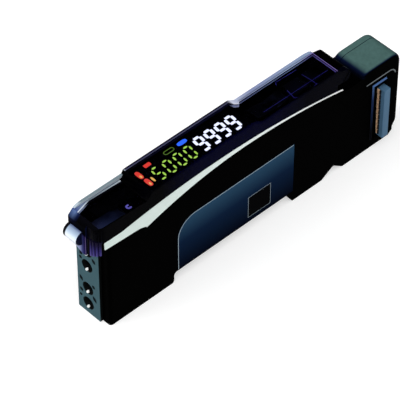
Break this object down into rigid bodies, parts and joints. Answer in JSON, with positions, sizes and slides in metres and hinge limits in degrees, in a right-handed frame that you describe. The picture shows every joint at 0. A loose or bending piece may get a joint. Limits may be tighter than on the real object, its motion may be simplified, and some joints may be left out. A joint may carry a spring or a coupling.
{
  "type": "fibre optic sensor amplifier",
  "caption": "Slim rail-mount amplifier for fibre optic sensors, with fibre bores, digital display, keys under a hinged clear cover and side bus connectors.",
  "frame": {"origin": "middle of the rail seat, on the plane where the 35 mm rail's top face bears", "axes": "+X from the fibre end to the connector end, -Y out of the labelled side, +Z away from the rail"},
  "size_m": [0.098, 0.012, 0.0346],
  "materials": {
    "case_black": "moulded, fine satin grain",
    "face_grey": "moulded, satin",
    "clamp_resin": "natural resin",
    "lever_black": "moulded, satin",
    "emitter_red": "clear tinted resin",
    "chip_black": "moulded package",
    "board_green": "solder resist",
    "display_resin": "potted display face",
    "panel_black": "polished",
    "window_smoke": "polished smoke acrylic",
    "switch_steel": "stamped",
    "key_black": "moulded, satin",
    "cover_clear": "polished clear polycarbonate",
    "plug_blue": "moulded, satin",
    "contact_gilt": "gold plated",
    "socket_black": "moulded",
    "label_film": "printed polyester film"
  },
  "bodies": {
    "case": {"main_case": "case_black", "side_lid": "case_black", "fibre_block": "face_grey", "fibre_clamp": "clamp_resin", "lock_lever": "lever_black", "light_emitters": "emitter_red", "light_receivers": "chip_black", "main_board": "board_green", "circuit_chips": "chip_black", "board_link": "chip_black", "display_board": "board_green", "left_display": "display_resin", "right_display": "display_resin", "indicator_lights": "emitter_red", "top_panel": "panel_black", "display_window": "window_smoke", "tactile_switches": "switch_steel", "connector_plug": "plug_blue", "plug_contacts": "contact_gilt", "connector_socket": "socket_black", "socket_contacts": "contact_gilt", "side_label": "label_film"},
    "cover": {"protective_cover": "cover_clear"},
    "tune": {"tune_key": "key_black"},
    "rocker": {"up_down_rocker": "key_black"},
    "mode": {"mode_key": "key_black"},
    "select": {"select_key": "key_black"}
  },
  "joints": [
    {"name": "cover_hinge", "type": "hinge", "parent": "case", "child": "cover", "pos_m": [0.036, 0, 0.0266], "axis": [0, 1, 0], "range_deg": [0, 150]},
    {"name": "tune_press", "type": "slide", "parent": "case", "child": "tune", "axis": [0, 0, -1], "range_m": [0, 0.00025], "stiffness_N_per_m": 2000},
    {"name": "rocker_tilt", "type": "hinge", "parent": "case", "child": "rocker", "pos_m": [0.0156, 0, 0.0253], "axis": [0, 1, 0], "range_deg": [-2, 2], "stiffness_Nm_per_rad": 0.05},
    {"name": "mode_press", "type": "slide", "parent": "case", "child": "mode", "axis": [0, 0, -1], "range_m": [0, 0.00025], "stiffness_N_per_m": 2000},
    {"name": "select_press", "type": "slide", "parent": "case", "child": "select", "axis": [0, 0, -1], "range_m": [0, 0.00025], "stiffness_N_per_m": 2000}
  ]
}
